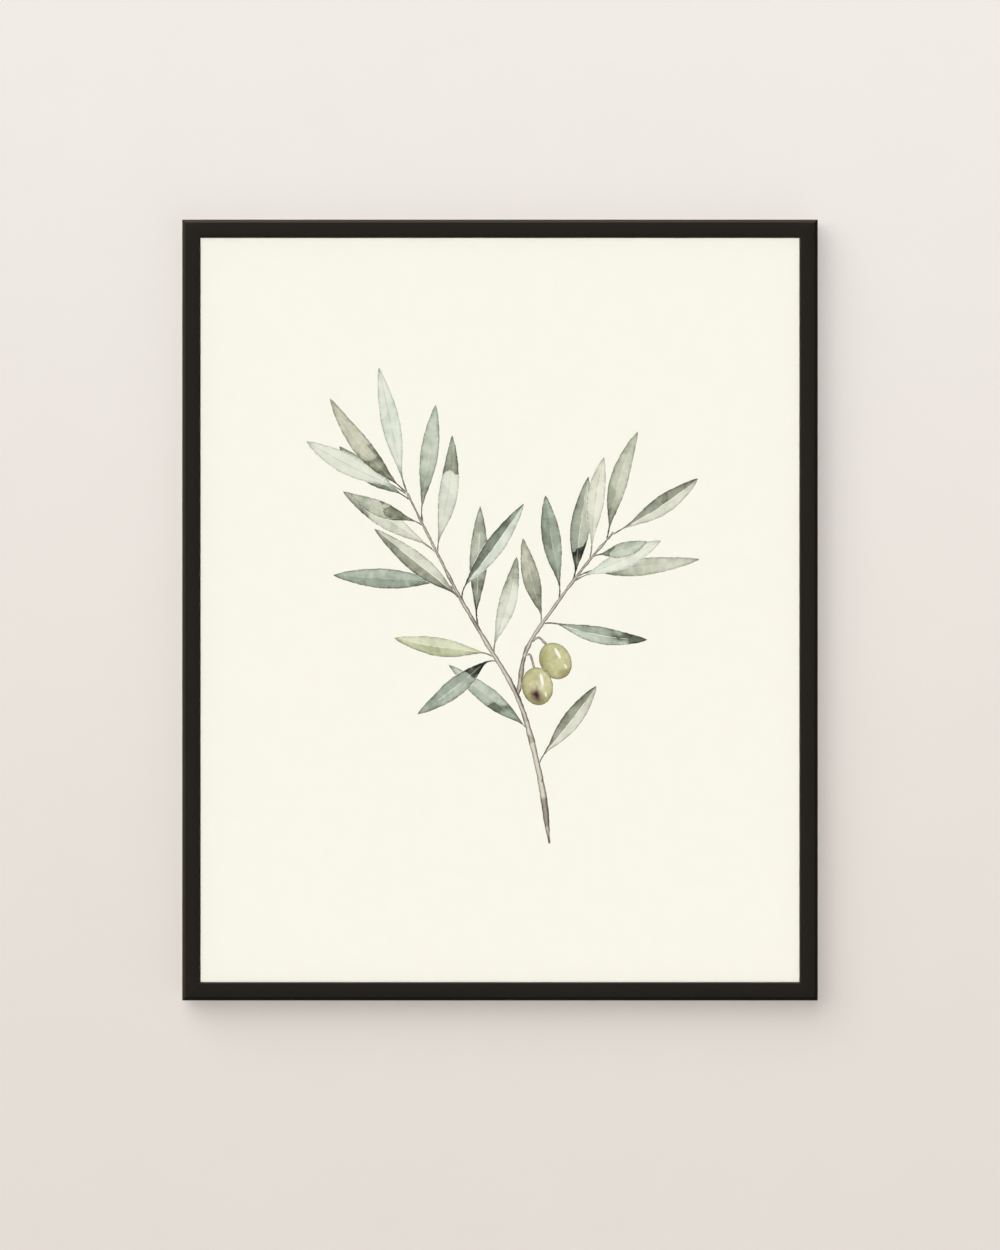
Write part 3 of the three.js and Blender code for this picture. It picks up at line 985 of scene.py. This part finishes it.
wool = pressed_wool()
rounding, foot, clump = 0.8 * MM, 0.15 * MM, 0.55 * MM
sunk_in, sunk_down = 0.035, 0.02  # how far the fuzz dips, as shares of the radius and the height
for side in ("left", "right"):
    low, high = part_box(f"felt_pad_{side}")
    radius, rings = (high.x - low.x) / 2, 10
    profile = [(0, low.y)] + [(radius * k / 6, low.y) for k in range(1, 6)]
    profile += [(radius - 0.1 * MM, low.y), (radius, low.y + foot)]
    profile += [(radius, low.y + foot + (high.y - rounding - low.y) * k / 8) for k in range(1, 8)]
    for k in range(rings):
        a = math.pi / 2 * k / (rings - 1)
        profile.append((radius - rounding * (1 - math.cos(a)), high.y - rounding * (1 - math.sin(a))))
    profile += [((radius - rounding) * (1 - k / 6), high.y) for k in range(1, 6)] + [(0, high.y)]
    bm = turned(profile, 64)
    heart = (low + high) / 2
    for vert in bm.verts:
        x, y, z = vert.co
        fuzz = abs(noise.noise(vert.co / clump + heart * 900))
        inward, level = 1 - sunk_in * fuzz, heart.y + (y - heart.y) * (1 - sunk_down * fuzz)
        vert.co = (heart.x + x * inward, level, heart.z + z * inward)
    piece(f"wool_felt_pad_{side}", bm, wool, "frame", "grey_felt", [f"felt_pad_{side}"], sharp=80)


# ---- Wall, light and camera ----
# A pale wall stands just behind the pads, with painted light in its colour that makes it lighter
# at the top and darker towards the bottom. Lamps of their own light the wall and the print evenly
# from the front, and others catch the frame from the upper left, the right and behind. The camera
# looks straight on from far back.


def pale_wall():
    """Painted plaster in front, with painted light in its colour, lighter at the top and darker
    towards the bottom, and nothing from behind, so that the frame's back can be seen.
    """
    shader, start = new_material("pale_wall")
    place = in_millimetres(start)
    # painted light and shade: the colour grows lighter towards the top and darker towards the bottom, as
    # a lamp's fall-off would light it
    height = place.parts()[2].rise(-900.0, 400.0)
    tone = height * 0.9 + place.noise(0.02, 3.0) * 0.1
    paint = tone.between((0.304, 0.283, 0.262), (0.361, 0.347, 0.333))
    feed(shader, Base_Color=paint, Roughness=0.9, Specular_IOR_Level=0.1)
    behind = start.node("NewGeometry", {}, {}, "Backfacing")
    clear = start.node("BsdfTransparent", {}, {})
    painted = Wire(start.material, shader.outputs[0])
    start.node("MixShader", {}, {0: behind, 1: painted, 2: clear}).surface()
    return start.material


def backdrop(name, bm, material):
    """A backdrop from bm that the camera sees, and that casts nothing on the frame."""
    mesh = bpy.data.meshes.new(name)
    bm.to_mesh(mesh)
    bm.free()
    mesh.materials.append(material)
    made = bpy.data.objects.new(name, mesh)
    bpy.context.scene.collection.objects.link(made)
    for ray in ("diffuse", "glossy", "transmission", "shadow"):
        setattr(made, f"visible_{ray}", False)
    return made


low, high = cad_bounds
middle = (low + high) / 2
reach, wall_front = 3.0, high.y + 0.2 * MM
bm = bmesh.new()
wall_corners = [(-reach, -reach), (reach, -reach), (reach, reach), (-reach, reach)]
bm.faces.new([bm.verts.new((middle.x + x, wall_front, middle.z + z)) for x, z in wall_corners])
wall_plane = backdrop("wall", bm, pale_wall())


def sun(name, towards, strength, spread, colour, lights=(), misses=()):
    """A far lamp in a direction from the frame, which either lights only some objects or misses some."""
    lamp = bpy.data.lights.new(name, "SUN")
    lamp.energy, lamp.angle, lamp.color = strength, math.radians(spread), colour
    made = bpy.data.objects.new(name, lamp)
    made.rotation_euler = Vector(towards).to_track_quat("Z", "Y").to_euler()
    bpy.context.scene.collection.objects.link(made)
    group = bpy.data.collections.new(name)
    for thing in (*lights, *misses):
        group.objects.link(thing)
    for member in group.collection_objects:
        member.light_linking.link_state = "EXCLUDE" if misses else "INCLUDE"
    made.light_linking.receiver_collection = group


flat = (wall_plane, printed)
sun("front_lamp", (0, -1, 0), 2.84, 4, (1, 0.997, 0.995), lights=flat)
sun("wall_lamp", (-0.60, -1, 0.72), 5.1, 75, (1, 0.985, 0.965), lights=(wall_plane,))
sun("wall_fill", (0.75, -1, -0.65), 1.1, 80, (1, 0.99, 0.975), lights=(wall_plane,))
sun("key_lamp", (-0.62, -0.24, 0.90), 7.6, 40, (1, 0.98, 0.95), misses=flat)
sun("side_lamp", (0.66, -0.38, -0.48), 0.25, 50, (0.98, 0.99, 1), misses=flat)
sun("back_lamp", (0.45, 1, 0.55), 2.4, 45, (1, 1, 1), misses=flat)

# dim air in front, where the glass would mirror it, and brighter air behind
world = bpy.data.worlds.new("studio")
world.use_nodes = True
air = world.node_tree.nodes["Background"]
air.inputs["Color"].default_value = (0.97, 0.975, 1.0, 1)
in_front, added_behind = 0.14, 0.4
towards_back = Wire(world).node("TexCoord", {}, {}, "Generated").parts()[1].rise(-0.1, 0.8)
strength = towards_back * added_behind + in_front
world.node_tree.links.new(strength.socket, air.inputs["Strength"])
bpy.context.scene.world = world

# a pale dome far around, which only shows as the background of other views
bm = bmesh.new()
bmesh.ops.create_icosphere(bm, subdivisions=4, radius=14.0)
glow, start = new_material("pale_dome")
haze = in_millimetres(start).noise(0.0002, 1.0).between((0.53, 0.54, 0.555), (0.56, 0.57, 0.585))
feed(glow, Emission_Color=haze, Emission_Strength=1.0, Base_Color=(0, 0, 0, 1), Specular_IOR_Level=0.0)
backdrop("dome", bm, start.material)

# the middle of the view lies a little below the frame's
view_height, distance, aim_low = 0.8333, 3.0, 0.012
camera = bpy.data.cameras.new("camera")
camera.lens = camera.sensor_width * distance / view_height
camera.clip_end = 100
camera_object = bpy.data.objects.new("camera", camera)
camera_object.location = (middle.x, low.y - distance, middle.z - aim_low * view_height)
camera_object.rotation_euler = (math.pi / 2, 0, 0)
bpy.context.scene.collection.objects.link(camera_object)
bpy.context.scene.camera = camera_object
bpy.context.scene.view_settings.view_transform = "Standard"
